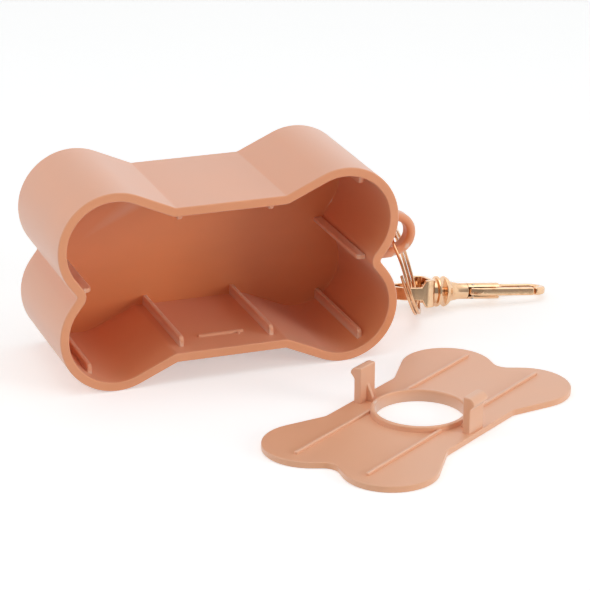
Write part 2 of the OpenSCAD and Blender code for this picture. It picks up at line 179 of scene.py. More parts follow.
def lies_flat(edge):
    """Whether both ends of an edge are at one height."""
    return abs(edge.verts[0].co.z - edge.verts[1].co.z) < hair


def bar(size, at, width, nose=None, nose_r=0):
    """A closed bar with rounded edges; its front edge on the nose's side gets a round of nose_r."""
    bm = bmesh.new()
    bmesh.ops.create_cube(bm, size=1)
    bmesh.ops.scale(bm, vec=size, verts=bm.verts[:])
    if nose:
        corner = [e for e in bm.edges
                  if all(v.co.z > 0 and v.co.dot(Vector(nose)) > 0 for v in e.verts)]
        bmesh.ops.bevel(bm, geom=corner, offset=nose_r, affect="EDGES", segments=5, profile=0.5,
                        material=-1)
    bmesh.ops.translate(bm, vec=at, verts=bm.verts[:])
    soften(bm, width)
    return bm


crease = radians(40)


def piece(name, parts, place):
    """One object from closed bmesh parts, which place puts into the frame."""
    whole = bpy.data.meshes.new(name)
    joined = bmesh.new()
    for bm in parts:
        bmesh.ops.recalc_face_normals(bm, faces=bm.faces[:])
        if bm.calc_volume(signed=True) < 0:
            bmesh.ops.reverse_faces(bm, faces=bm.faces[:])
        bm.to_mesh(whole)
        joined.from_mesh(whole)
        bm.free()
    bmesh.ops.transform(joined, matrix=place, verts=joined.verts[:])
    for face in joined.faces:
        face.smooth = True
    for edge in joined.edges:
        edge.smooth = not edge.is_manifold or edge.calc_face_angle(0) < crease
    joined.to_mesh(whole)
    joined.free()
    made = bpy.data.objects.new(name, whole)
    bpy.context.scene.collection.objects.link(made)
    even = made.modifiers.new("even_shading", "WEIGHTED_NORMAL")
    even.keep_sharp = True
    return made


# the walls: the outline pushed to the rim, a rim face set in, and a pocket pushed back
shell = bmesh.new()
outer_back = lobed_face(shell, 0)
rim = push(shell, outer_back, (0, 0, case_d))
bmesh.ops.inset_region(shell, faces=[rim], thickness=wall, use_even_offset=True)
inner_back = push(shell, rim, (0, 0, back_wall - case_d))
inner_loop = set(inner_back.edges)
soften(shell, inner_round, 3, where=lambda e: e in inner_loop)
soften(shell, back_round, 4, where=at_depth(0))
soften(shell, rim_round, 4, where=at_depth(case_d))

# the ribs: thin bars from the back wall to just inside the rim
rib_t = 1.2 * mm
rib_front = 4.3 * mm
rib_round = 0.3 * mm
rib_nose = 1.2 * mm
rib_sunk = 0.6 * mm
flat_rib_in = 2.4 * mm
flat_rib_h = 2.5 * mm
lobe_rib_out = 6 * mm
lobe_rib_h = 2.3 * mm
end_rib_h = 1.7 * mm
inner_flat = flat_z - wall
rib_len = case_d - rib_front - back_wall + rib_sunk
rib_mid = back_wall - rib_sunk + rib_len / 2
lobe_wall = lobe_c.y + sqrt((lobe_r - wall) ** 2 - lobe_rib_out ** 2)
notch_wall = notch_corner(wall).x
ribs = []
for side in (-1, 1):
    for level in (-1, 1):
        for x, foot, height in ((flat_half - flat_rib_in, inner_flat, flat_rib_h),
                                (lobe_c.x + lobe_rib_out, lobe_wall, lobe_rib_h)):
            ribs.append(bar((rib_t, height + rib_sunk, rib_len),
                            (side * x, level * (foot - (height - rib_sunk) / 2), rib_mid), rib_round,
                            (0, -level, 0), rib_nose))
    ribs.append(bar((end_rib_h + rib_sunk, rib_t, rib_len),
                    (side * (notch_wall - (end_rib_h - rib_sunk) / 2), 0, rib_mid), rib_round,
                    (-side, 0, 0), rib_nose))

# the two catch beads behind the rim, with the moulding's gate mark beside the lower one
bead_l = 12 * mm
bead_r = 0.8 * mm
bead_sunk = 0.25 * mm
bead_round = 0.3 * mm
bead_depth = case_d - 9.4 * mm
mark_r = 0.45 * mm
mark_tip_r = 0.38 * mm
mark_l = 0.8 * mm
mark_round = 0.1 * mm
mark_at = (4.4 * mm, -inner_flat, 30.3 * mm)
beads = []
for level in (-1, 1):
    bm = bmesh.new()
    bmesh.ops.create_cone(bm, cap_ends=True, segments=32, radius1=bead_r, radius2=bead_r, depth=bead_l,
                          matrix=Matrix.Translation((0, level * (inner_flat + bead_sunk), bead_depth))
                          @ Matrix.Rotation(pi / 2, 4, "Y"))
    soften(bm, bead_round)
    beads.append(bm)
gate_mark = bmesh.new()
bmesh.ops.create_cone(gate_mark, cap_ends=True, segments=24, radius1=mark_r, radius2=mark_tip_r,
                      depth=mark_l, matrix=Matrix.Translation(mark_at)
                      @ Matrix.Rotation(-pi / 2, 4, "X"))
soften(gate_mark, mark_round, 2)
beads.append(gate_mark)

# the lug: a rounded loop on the end notch, with a bore for the split ring
lug_out = 6.2 * mm
lug_bore = 3.5 * mm
lug_r = lug_bore + 2.4 * mm
lug_t = 4.4 * mm
lug_round = 1.1 * mm
lug_root = case_l / 2 - wall
lug_tail = case_l / 2 - 5.8 * mm
lug = Vector((case_l / 2 + lug_out, 0, case_d / 2))
loop = bmesh.new()
outer = loop.verts.new((lug.x, -lug_r, 0))
arc = bmesh.ops.spin(loop, geom=[outer], cent=(lug.x, 0, 0), axis=(0, 0, 1), dvec=(0, 0, 0),
                     angle=pi, steps=32)
tail = [loop.verts.new((x, y, 0)) for x, y in ((lug_root, lug_r), (lug_tail, 0), (lug_root, -lug_r))]
join_up(loop, [arc["geom_last"][0]] + tail + [outer])
bmesh.ops.create_circle(loop, segments=40, radius=lug_bore,
                        matrix=Matrix.Translation((lug.x, 0, 0)))
bmesh.ops.triangle_fill(loop, use_beauty=True, edges=loop.edges[:])
thicken(loop, lug_t)
soften(loop, lug_round, 5, where=lambda e: lies_flat(e)
       and min(v.co.x for v in e.verts) > lug_root + 0.1 * mm)
bmesh.ops.translate(loop, vec=(0, 0, lug.z - lug_t / 2), verts=loop.verts[:])

case_place = Matrix.Rotation(pi / 2, 4, "X")
case = piece("case_moulding", [shell, loop] + ribs + beads, case_place)


def feed(tree, socket, value):
    """Links a socket to another one, or sets it to a plain value."""
    if isinstance(value, bpy.types.NodeSocket):
        tree.links.new(value, socket)
    else:
        socket.default_value = value


def add(tree, kind, **inputs):
    """A node of that kind; each keyword sets a setting of the node, or else one of its inputs."""
    node = tree.nodes.new(kind)
    for key, value in inputs.items():
        if hasattr(node, key):
            setattr(node, key, value)
        else:
            feed(tree, node.inputs[key.replace("_", " ")], value)
    return node


def maths(tree, operation, *values):
    """The result of a Math node; each value is a number or a socket."""
    node = add(tree, "ShaderNodeMath", operation=operation)
    for socket, value in zip(node.inputs, values):
        feed(tree, socket, value)
    return node.outputs["Value"]


def blend(tree, factor, low, high):
    """A mix of two colours: a Mix node has its colours at inputs 6 and 7 and output 2."""
    node = add(tree, "ShaderNodeMix", data_type="RGBA")
    for index, socket in ((0, factor), (6, low), (7, high)):
        tree.links.new(socket, node.inputs[index])
    return node.outputs[2]


def group_of(name, ins, outs):
    """An empty node group with the named inputs and outputs, and its two end nodes."""
    tree = bpy.data.node_groups.new(name, "ShaderNodeTree")
    for label, kind, value in ins:
        tree.interface.new_socket(label, in_out="INPUT", socket_type=kind).default_value = value
    for label, kind in outs:
        tree.interface.new_socket(label, in_out="OUTPUT", socket_type=kind)
    return tree, tree.nodes.new("NodeGroupInput"), tree.nodes.new("NodeGroupOutput")


# moulded grain and painted highlight: a soft mottle, a paler colour on convex edges that is a painted
# highlight, and the fine skin of a spark-eroded mould
grain, grain_in, grain_out = group_of(
    "moulded_grain_and_highlight",
    [("Colour", "NodeSocketColor", (0.8, 0.5, 0.4, 1)), ("Worn", "NodeSocketColor", (0.9, 0.6, 0.5, 1)),
     ("Mottle", "NodeSocketFloat", 0.05), ("Roughness", "NodeSocketFloat", 0.45)],
    [("Colour", "NodeSocketColor"), ("Roughness", "NodeSocketFloat"), ("Height", "NodeSocketFloat")])
place = add(grain, "ShaderNodeTexCoord").outputs["Object"]
cloud = add(grain, "ShaderNodeTexNoise", Vector=place, Scale=70.0, Detail=3.0, Roughness=0.5)
skin = add(grain, "ShaderNodeTexNoise", Vector=place, Scale=2600.0, Detail=2.0, Roughness=0.6)
flow = add(grain, "ShaderNodeMapping", Vector=place, Scale=(40, 12, 160))
streak = add(grain, "ShaderNodeTexNoise", Vector=flow.outputs["Vector"], Scale=1.0, Detail=2.0)
both = maths(grain, "ADD", cloud.outputs["Fac"], streak.outputs["Fac"])
centred = maths(grain, "SUBTRACT", both, 1.0)
shaded = add(grain, "ShaderNodeHueSaturation", Color=grain_in.outputs["Colour"],
             Value=maths(grain, "MULTIPLY_ADD", centred, grain_in.outputs["Mottle"], 1.0))
# convex edges, found by pointiness, get the paler second colour: a painted edge highlight
edge = add(grain, "ShaderNodeMapRange", From_Min=0.505, From_Max=0.62,
           Value=add(grain, "ShaderNodeNewGeometry").outputs["Pointiness"])
grain.links.new(blend(grain, edge.outputs["Result"], shaded.outputs["Color"], grain_in.outputs["Worn"]),
                grain_out.inputs["Colour"])
grain.links.new(maths(grain, "MULTIPLY_ADD", centred, 0.12, grain_in.outputs["Roughness"]),
                grain_out.inputs["Roughness"])
grain.links.new(skin.outputs["Fac"], grain_out.inputs["Height"])


def finished(name, group, bump_strength, bump_depth, **values):
    """A material whose colour, roughness and bump come from a node group; gives its shader too."""
    made = bpy.data.materials.new(name)
    made.use_nodes = True
    tree = made.node_tree
    shader = tree.nodes["Principled BSDF"]
    finish = add(tree, "ShaderNodeGroup", node_tree=group, **values)
    bump = add(tree, "ShaderNodeBump", Height=finish.outputs["Height"], Strength=bump_strength,
               Distance=bump_depth)
    tree.links.new(finish.outputs["Colour"], shader.inputs["Base Color"])
    tree.links.new(finish.outputs["Roughness"], shader.inputs["Roughness"])
    tree.links.new(bump.outputs["Normal"], shader.inputs["Normal"])
    return made, shader


def moulded(name, colour):
    """Satin injection-moulded plastic, with a painted highlight on its convex edges and a soft sheen.
    """
    # the paler second colour is the painted highlight laid on convex edges
    made, shader = finished(name, grain, 0.06, 0.05 * mm, Colour=colour, Worn=(0.90, 0.58, 0.42, 1),
                            Mottle=0.10, Roughness=0.50)
    shader.inputs["IOR"].default_value = 1.49
    shader.inputs["Coat Weight"].default_value = 1.0
    shader.inputs["Coat IOR"].default_value = 1.6
    shader.inputs["Coat Roughness"].default_value = 0.42
    shader.inputs["Sheen Weight"].default_value = 0.35
    shader.inputs["Sheen Roughness"].default_value = 0.5
    return made


copper_pink = moulded("copper_pink_plastic", (0.84, 0.29, 0.10, 1))
case.data.materials.append(copper_pink)
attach(case, "case")
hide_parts("case")


# ---------------------------------------------------------------------------
# Lid: a flat moulded plate with the case's outline, a round bag outlet with a
# lip, four stiffening ribs and two snap hooks. It snaps into the case's mouth
# and lies on the table here, taken off.
# ---------------------------------------------------------------------------

lid_off = wall + 0.54 * mm
lid_t = 1.6 * mm
lid_round = 0.28 * mm
lid_margin = 0.3 * mm
outlet_r = 10.8 * mm
outlet_steps = 96
lip_r = outlet_r + 1.2 * mm
lip_foot = 0.3 * mm
lip_top = lid_t + 1.4 * mm
lip_round = 0.42 * mm
lip_lap = 0.01 * mm

# the plate, whose flat faces get a narrow margin that keeps the painted edge highlight to its edges
plate = bmesh.new()
lobed_face(plate, lid_off)
bmesh.ops.delete(plate, geom=plate.faces[:], context="FACES_ONLY")
bmesh.ops.create_circle(plate, segments=outlet_steps, radius=outlet_r)
bmesh.ops.triangle_fill(plate, use_beauty=True, edges=plate.edges[:])
thicken(plate, lid_t)
soften(plate, lid_round, 4, where=lambda e: lies_flat(e) and e.verts[0].co.xy.length > lip_r)
for level in (0, lid_t):
    flat = [f for f in plate.faces if all(abs(v.co.z - level) < hair for v in f.verts)]
    bmesh.ops.inset_region(plate, faces=flat, thickness=lid_margin, use_boundary=True,
                           use_even_offset=True)

# the lip, spun from its section, whose own face is left inside the full turn and goes
lip = bmesh.new()
for x, z in ((outlet_r, lip_foot), (outlet_r, lip_top), (lip_r, lip_top), (lip_r, lip_foot)):
    lip.verts.new((x - lip_lap, 0, z))
lip.faces.new(lip.verts[:])
bevel_corners(lip, [v for v in lip.verts if v.co.z > lid_t], lip_round, 4)
bmesh.ops.spin(lip, geom=lip.edges[:], cent=(0, 0, 0), axis=(0, 0, 1), dvec=(0, 0, 0),
               angle=2 * pi, steps=outlet_steps, use_merge=True)
bmesh.ops.delete(lip, geom=[f for f in lip.faces if len(f.verts) > 4], context="FACES_ONLY")

# the four stiffening ribs, from the lip to near the plate's ends
lid_rib_y = 10 * mm
lid_rib_h = 0.7 * mm
lid_rib_t = 0.9 * mm
lid_rib_end = 3.8 * mm
lid_sunk = 0.4 * mm
lid_rib_out = case_l / 2 - lid_off - lid_rib_end
lid_rib_in = sqrt(lip_r ** 2 - lid_rib_y ** 2) - lid_sunk
lid_ribs = []
for side in (-1, 1):
    for level in (-1, 1):
        lid_ribs.append(bar((lid_rib_out - lid_rib_in, lid_rib_t, lid_rib_h + lid_sunk),
                            (side * (lid_rib_in + lid_rib_out) / 2, level * lid_rib_y,
                             lid_t + (lid_rib_h - lid_sunk) / 2), lid_round))

# the two snap hooks, each with a gusset behind its stem
hook_w = 6.3 * mm
hook_x = -0.9 * mm
hook_t = 2.0 * mm
hook_h = 10.7 * mm
hook_nose = 1.1 * mm
hook_round = 0.3 * mm
stem_out = inner_flat - 1.3 * mm
stem_in = stem_out - hook_t
barb_out = 1.2 * mm
barb_z = hook_h - 1.6 * mm
barb_foot = hook_h - 3.0 * mm
gusset_t = 1.0 * mm
gusset_l = 2.2 * mm
gusset_top = lid_t + 4.5 * mm
gusset_round = 0.2 * mm
lid_foot = lid_t - lid_sunk
hook_side = ((stem_in, lid_foot), (stem_in, hook_h), (stem_out + 0.5 * mm, hook_h),
             (stem_out + barb_out, barb_z), (stem_out, barb_foot), (stem_out, lid_foot))
gusset_side = ((stem_in - gusset_l, lid_foot), (stem_in - gusset_l, lid_t), (stem_in, gusset_top),
               (stem_in + lid_sunk, gusset_top), (stem_in + lid_sunk, lid_foot))


def slab(side, x, width, nose_r, round_r):
    """A slab from its side view in Y and Z, centred at x, with its edges and third corner rounded."""
    bm = bmesh.new()
    corners = [bm.verts.new((x - width / 2, y, z)) for y, z in side]
    bm.faces.new(corners)
    if nose_r:
        bevel_corners(bm, [corners[2]], nose_r, 6)
    bm.faces.ensure_lookup_table()
    push(bm, bm.faces[0], (width, 0, 0))
    soften(bm, round_r)
    return bm


hooks = []
for flip in (Matrix.Identity(4), Matrix.Scale(-1, 4, (0, 1, 0))):
    for side, width, nose_r, round_r in ((hook_side, hook_w, hook_nose, hook_round),
                                         (gusset_side, gusset_t, 0, gusset_round)):
        bm = slab(side, hook_x, width, nose_r, round_r)
        bmesh.ops.transform(bm, matrix=flip, verts=bm.verts[:])
        hooks.append(bm)

lid_right = 33.6 * mm
lid_ahead = 40.55 * mm
lid_turn = radians(34.3)
lid_place = (Matrix.Translation((lid_right, -case_d - lid_ahead, -case_h / 2))
             @ Matrix.Rotation(lid_turn, 4, "Z"))
lid = piece("lid_moulding", [plate, lip] + lid_ribs + hooks, lid_place)
lid_plastic = moulded("copper_pink_lid", (0.88, 0.41, 0.20, 1))
lid.data.materials.append(lid_plastic)
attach(lid, "lid")
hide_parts("lid")


# ---------------------------------------------------------------------------
# Split ring: a flat steel wire wound twice and plated, which steps over to its
# second turn in front of the lug. It hangs through the lug's bore.
# ---------------------------------------------------------------------------

ring_r = 11.4 * mm
wire_w = 1.5 * mm
wire_t = 0.75 * mm
wire_corner = 0.26 * mm
turn_pitch = wire_t + 0.16 * mm
wire_end_round = 0.15 * mm
ring_seat = 1.2 * mm
ring_lean = radians(-18.5)
ring_yaw = radians(-20)
ring_twist = radians(9)
split_at = radians(-30)
step_half = radians(25)
wire_from = step_half + radians(5)
wire_to = 4 * pi - wire_from
wire_steps = 220


def climb(angle):
    """How far along the ring's axis the wire lies at an angle from its start."""
    t = min(max((angle - 2 * pi + step_half) / (2 * step_half), 0), 1)
    return turn_pitch * (0.5 - t * t * (3 - 2 * t))


def rod_section(across, deep, corner, steps):
    """A flat rod's section as a face in the XY plane, with rounded corners."""
    bm = bmesh.new()
    bmesh.ops.create_grid(bm, x_segments=1, y_segments=1, size=0.5)
    bmesh.ops.scale(bm, vec=(across, deep, 1), verts=bm.verts[:])
    bevel_corners(bm, bm.verts[:], corner, steps)
    return bm


wire = rod_section(wire_t, wire_w, wire_corner, 4)
bmesh.ops.translate(wire, vec=(climb(wire_from), ring_r, 0), verts=wire.verts[:])
bmesh.ops.rotate(wire, cent=(0, 0, 0), verts=wire.verts[:],
                 matrix=Matrix.Rotation(pi / 2 - wire_from - split_at, 3, "X"))
wire.faces.ensure_lookup_table()
end = wire.faces[0]
step = (wire_to - wire_from) / wire_steps
for i in range(wire_steps):
    angle = wire_from + i * step
    end = push(wire, end, (climb(angle + step) - climb(angle), 0, 0))
    bmesh.ops.rotate(wire, cent=(0, 0, 0), verts=end.verts[:], matrix=Matrix.Rotation(-step, 3, "X"))
soften(wire, wire_end_round, 2, where=lambda e: any(len(f.verts) > 4 for f in e.link_faces))

lug_at = Vector((case_l / 2 + lug_out, -case_d / 2, 0))
ring_place = (Matrix.Translation(lug_at) @ Matrix.Rotation(ring_lean, 4, "Y")
              @ Matrix.Rotation(ring_yaw, 4, "Z") @ Matrix.Rotation(ring_twist, 4, "X")
              @ Matrix.Translation((0, 0, -ring_seat - ring_r)))
ring = piece("ring_wire", [wire], ring_place)

# plated metal: fine polishing lines and smudges that change the gloss
polish, polish_in, polish_out = group_of(
    "polished_plating",
    [("Colour", "NodeSocketColor", (0.9, 0.6, 0.4, 1)), ("Dull", "NodeSocketColor", (0.7, 0.4, 0.3, 1)),
     ("Roughness", "NodeSocketFloat", 0.1)],
    [("Colour", "NodeSocketColor"), ("Roughness", "NodeSocketFloat"), ("Height", "NodeSocketFloat")])
place = add(polish, "ShaderNodeTexCoord").outputs["Object"]
cloud = add(polish, "ShaderNodeTexNoise", Vector=place, Scale=420.0, Detail=4.0, Roughness=0.6)
lines = add(polish, "ShaderNodeTexNoise", Scale=1.0, Detail=2.0,
            Vector=add(polish, "ShaderNodeMapping", Vector=place,
                       Scale=(500, 7000, 7000)).outputs["Vector"])
smudge = add(polish, "ShaderNodeMapRange", Value=cloud.outputs["Fac"], From_Min=0.45,
             From_Max=0.75).outputs["Result"]
polish.links.new(blend(polish, smudge, polish_in.outputs["Colour"], polish_in.outputs["Dull"]),
                 polish_out.inputs["Colour"])
polish.links.new(maths(polish, "MULTIPLY_ADD", smudge, 0.10, polish_in.outputs["Roughness"]),
                 polish_out.inputs["Roughness"])
polish.links.new(lines.outputs["Fac"], polish_out.inputs["Height"])


def plated(name, colour, dull, roughness):
    """Polished metal, plated or bare."""
    made, shader = finished(name, polish, 0.05, 0.02 * mm, Colour=colour, Dull=dull,
                            Roughness=roughness)
    shader.inputs["Metallic"].default_value = 1.0
    return made


ring_plating = plated("rose_gold_ring", (0.82, 0.50, 0.29, 1), (0.62, 0.33, 0.17, 1), 0.13)
ring.data.materials.append(ring_plating)
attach(ring, "ring")
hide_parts("split_ring")


# ---------------------------------------------------------------------------
# Swivel eye: a flat strap bent into a closed loop round the ring, with a boss
# and a round flange that the snap hook's post turns in. Cast and plated.
# ---------------------------------------------------------------------------

eye_l = 13.4 * mm
eye_half = 5.3 * mm
strap_t = 1.3 * mm
strap_low = 3.4 * mm
strap_high = 7.2 * mm
strap_corner = 2.6 * mm
strap_round = 0.28 * mm
flange_r = 4.1 * mm
flange_t = 0.75 * mm
boss_l = 1.15 * mm
boss_r = 3.0 * mm
boss_round = 0.2 * mm
swivel_gap = 1.45 * mm

eye_end = -swivel_gap / 2
boss_end = eye_end - flange_t
loop_end = boss_end - boss_l
eye_tip = eye_end - eye_l
high_x = loop_end - 3.0 * mm
low_x = high_x - 1.2 * mm

strap = bmesh.new()
first = strap.verts.new((eye_tip + eye_half, eye_half, 0))
arc = bmesh.ops.spin(strap, geom=[first], cent=(eye_tip + eye_half, 0, 0), axis=(0, 0, 1),
                     dvec=(0, 0, 0), angle=pi, steps=32)
corners = [strap.verts.new((loop_end, s * eye_half, 0)) for s in (-1, 1)]
join_up(strap, [arc["geom_last"][0]] + corners + [first])
bmesh.ops.edgeloop_fill(strap, edges=strap.edges[:])
round_corners(strap, corners, strap_corner, pi / 2, 8)
strap.faces.ensure_lookup_table()
inside = strap.faces[0]
bmesh.ops.inset_region(strap, faces=[inside], thickness=strap_t, use_boundary=True,
                       use_even_offset=True)
bmesh.ops.delete(strap, geom=[inside], context="FACES_ONLY")
thicken(strap, strap_low)
bmesh.ops.translate(strap, vec=(0, 0, -strap_low / 2), verts=strap.verts[:])
for x in (low_x, high_x):
    bmesh.ops.bisect_plane(strap, geom=strap.verts[:] + strap.edges[:] + strap.faces[:],
                           dist=1e-7, plane_co=(x, 0, 0), plane_no=(1, 0, 0))
bmesh.ops.scale(strap, vec=(1, 1, strap_high / strap_low),
                verts=[v for v in strap.verts if v.co.x > high_x - 0.01 * mm])
soften(strap, strap_round, 3, radians(50))


def turned(section, round_r):
    """A turned part from its half section: distance along X and radius, from axis to axis."""
    bm = bmesh.new()
    join_up(bm, [bm.verts.new((x, r, 0)) for x, r in section])
    bmesh.ops.spin(bm, geom=bm.verts[:] + bm.edges[:], cent=(0, 0, 0), axis=(1, 0, 0),
                   dvec=(0, 0, 0), angle=2 * pi, steps=64, use_merge=True)
    bmesh.ops.remove_doubles(bm, verts=bm.verts[:], dist=1e-7)
    bmesh.ops.recalc_face_normals(bm, faces=bm.faces[:])
    soften(bm, round_r)
    return bm


boss = turned(((loop_end - strap_t / 2, 0), (loop_end - strap_t / 2, boss_r), (boss_end, boss_r),
               (boss_end, flange_r), (eye_end, flange_r), (eye_end, 0)), boss_round)


# the clip's own frame, as it lies on the table: X along it to the tip, Y away from its front
swivel_right = 16.75 * mm
swivel_behind = 6.8 * mm
swivel_up = 4.83 * mm
clip_yaw = radians(-4)
clip_pitch = radians(5)
clip_roll = radians(-12)
swivel_at = lug_at + Vector((swivel_right, swivel_behind, swivel_up - case_h / 2))
clip_place = (Matrix.Translation(swivel_at) @ Matrix.Rotation(clip_yaw, 4, "Z")
              @ Matrix.Rotation(clip_pitch, 4, "Y") @ Matrix.Rotation(clip_roll, 4, "X"))

eye = piece("swivel_loop", [strap, boss], clip_place)
clip_plating = plated("rose_gold_clip", (0.87, 0.58, 0.36, 1), (0.70, 0.42, 0.23, 1), 0.11)
eye.data.materials.append(clip_plating)
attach(eye, "eye")
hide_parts("swivel_eye")


# ---------------------------------------------------------------------------
# Snap hook: a die-cast body with a peened post, a domed collar, a neck, a
# slotted barrel and a closed claw. The slot holds the gate, its pin and spring.
# ---------------------------------------------------------------------------

post_r = 1.2 * mm
head_r = 1.9 * mm
head_t = 1.0 * mm
collar_l = 1.9 * mm
neck_l = 2.2 * mm
barrel_r = 2.15 * mm
barrel_l = 11.4 * mm
claw_t = 2.1 * mm
rod_w = 1.9 * mm
claw_gap = 5.0 * mm
claw_reach = 14.0 * mm
claw_merge = 1.2 * mm
pin_off = 0.9 * mm
root_r = 1.1 * mm
root_gap = 0.35 * mm
slot_half = claw_t / 2 + 0.25 * mm
slot_deep = 1.2 * mm
slot_round = 0.07 * mm
gate_proud = 0.55 * mm
nose_l = 4.0 * mm
rod_corner = 0.62 * mm
rod_end_round = 0.3 * mm
turned_round = 0.18 * mm
root_turn = radians(98)

collar_end = swivel_gap / 2
neck_start = collar_end + collar_l
barrel_start = neck_start + neck_l
barrel_end = barrel_start + barrel_l
claw_mid_r = claw_gap / 2 + rod_w / 2
claw_tip = barrel_end + claw_reach
gate_front = -barrel_r - gate_proud
claw_y = gate_front + rod_w / 2 + claw_mid_r
claw_left_x = barrel_end + claw_mid_r + rod_w / 2 - claw_merge
claw_right_x = claw_tip - claw_mid_r - rod_w / 2
pin_x = barrel_start + 4.0 * mm
slot_start = pin_x - root_r - root_gap
post_end = loop_end - strap_t - 0.2 * mm

# the post with its peened head, the collar's dome, the neck and the barrel's solid start
dome = ((0, 1), (0.3, 0.97), (0.5, 0.91), (0.7, 0.83), (1, 0.68))
post = ((post_end - head_t, 0), (post_end - head_t, head_r), (post_end, head_r), (post_end, post_r),
        (collar_end, post_r))
neck = ((neck_start + 0.25 * mm, 0.64 * flange_r), (neck_start + 0.6 * neck_l, 1.12 * barrel_r),
        (barrel_start, barrel_r), (slot_start, barrel_r), (slot_start, 0))
collar = tuple((collar_end + along * collar_l, out * flange_r) for along, out in dome)
body = turned(post + collar + neck, turned_round)

# the slotted barrel: a round section open to the front
barrel = bmesh.new()
slot_edge = -sqrt(barrel_r ** 2 - slot_half ** 2)
slot_turn = asin(slot_half / barrel_r)
first = barrel.verts.new((slot_start, slot_edge, slot_half))
arc = bmesh.ops.spin(barrel, geom=[first], cent=(0, 0, 0), axis=(-1, 0, 0), dvec=(0, 0, 0),
                     angle=2 * pi - 2 * slot_turn, steps=52)
floor_verts = [barrel.verts.new((slot_start, slot_deep, s * slot_half)) for s in (-1, 1)]
join_up(barrel, [arc["geom_last"][0]] + floor_verts + [first])
bmesh.ops.edgeloop_fill(barrel, edges=barrel.edges[:])
barrel.faces.ensure_lookup_table()
push(barrel, barrel.faces[0], (barrel_end - slot_start, 0, 0))
soften(barrel, slot_round, 2, where=lambda e: all(v.co.x > barrel_end - hair for v in e.verts))

# the claw: one rounded rod from the nose round the tip and back into the barrel
claw = rod_section(rod_w, claw_t, rod_corner, 5)
bmesh.ops.rotate(claw, cent=(0, 0, 0), matrix=Matrix.Rotation(pi / 2, 3, "X"), verts=claw.verts[:])
nose_turn = asin((claw_right_x - claw_tip + nose_l) / claw_mid_r)
tip_c = Vector((claw_right_x, claw_y, 0))
root_c = Vector((claw_left_x, claw_y, 0))
bmesh.ops.translate(claw, vec=tip_c - Vector((claw_mid_r, 0, 0)), verts=claw.verts[:])
bmesh.ops.rotate(claw, cent=tip_c, matrix=Matrix.Rotation(pi / 2 - nose_turn, 3, "Z"),
                 verts=claw.verts[:])
claw.faces.ensure_lookup_table()


def sweep(bm, face, centre, angle, steps):
    """Turns a face about a centre in the XY plane and gives the face at the far end."""
    alone = all(edge.is_boundary for edge in face.edges)
    turned_to = bmesh.ops.spin(bm, geom=[face], cent=centre, axis=(0, 0, 1), dvec=(0, 0, 0),
                               angle=angle, steps=steps)["geom_last"]
    if not alone:
        bmesh.ops.delete(bm, geom=[face], context="FACES_ONLY")
    return next(g for g in turned_to if isinstance(g, bmesh.types.BMFace))


end = sweep(claw, claw.faces[0], tip_c, pi + nose_turn, 40)
end = push(claw, end, root_c - tip_c)
sweep(claw, end, root_c, root_turn, 24)
soften(claw, rod_end_round, 3, radians(60))

hook = piece("snap_hook_body", [body, barrel, claw], clip_place)
hook.data.materials.append(clip_plating)
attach(hook, "hook")
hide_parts("hook_body")


# ---------------------------------------------------------------------------
# Gate: a die-cast bar that turns on a cross pin of ground steel in the barrel's
# slot and closes the claw flush with its nose. A leaf spring pushes it shut.
# ---------------------------------------------------------------------------

gate_gap = 0.3 * mm
gate_heel = 0.9 * mm
gate_round = 0.5 * mm
gate_tip = claw_tip - nose_l - gate_gap
gate_back = gate_front + rod_w
gate_foot = pin_x + 1.7 * mm

latch = bmesh.new()
first = latch.verts.new((pin_x, -pin_off + root_r, 0))
arc = bmesh.ops.spin(latch, geom=[first], cent=(pin_x, -pin_off, 0), axis=(0, 0, 1), dvec=(0, 0, 0),
                     angle=pi, steps=16)
corners = [latch.verts.new((x, y, 0)) for x, y in ((gate_foot, gate_front), (gate_tip, gate_front),
                                                   (gate_tip, gate_back), (gate_foot, gate_back))]
join_up(latch, [arc["geom_last"][0]] + corners + [first])
bmesh.ops.edgeloop_fill(latch, edges=latch.edges[:])
bevel_corners(latch, [corners[0]], gate_heel, 6)
latch.faces.ensure_lookup_table()
push(latch, latch.faces[0], (0, 0, claw_t))
bmesh.ops.translate(latch, vec=(0, 0, -claw_t / 2), verts=latch.verts[:])
soften(latch, gate_round, 4, radians(50))

gate = piece("gate_bar", [latch], clip_place)
gate_plating = plated("rose_gold_gate", (0.87, 0.58, 0.36, 1), (0.70, 0.42, 0.23, 1), 0.11)
gate.data.materials.append(gate_plating)
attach(gate, "gate")
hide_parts("gate")

pin_steel = plated("ground_steel", (0.72, 0.66, 0.60, 1), (0.55, 0.50, 0.46, 1), 0.22)
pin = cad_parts["gate_pin"]
pin.data.materials.clear()
pin.data.materials.append(pin_steel)
for face in pin.data.polygons:
    face.material_index = 0


# ---------------------------------------------------------------------------
# Leaf spring: a strip of bright spring steel with one bend. Its foot lies on
# the slot's floor and its free end stands behind the gate, which presses it flat.
# ---------------------------------------------------------------------------

leaf_t = 0.2 * mm
leaf_w = claw_t - 0.4 * mm
leaf_from = pin_x + root_r
leaf_bend = leaf_from + 1.4 * mm
leaf_end = barrel_end - 1.2 * mm
leaf_top = gate_back + 0.15 * mm
leaf_corner = 0.5 * mm
leaf_round = 0.04 * mm
leaf_side = ((leaf_from, slot_deep), (leaf_bend, slot_deep), (leaf_end, leaf_top + leaf_t),
             (leaf_end, leaf_top), (leaf_bend - leaf_t, slot_deep - leaf_t),
             (leaf_from, slot_deep - leaf_t))

strip = bmesh.new()
corners = [strip.verts.new((x, y, -leaf_w / 2)) for x, y in leaf_side]
strip.faces.new(corners)
bevel_corners(strip, [corners[1], corners[4]], leaf_corner, 6)
strip.faces.ensure_lookup_table()
push(strip, strip.faces[0], (0, 0, leaf_w))
soften(strip, leaf_round, 2, radians(50))

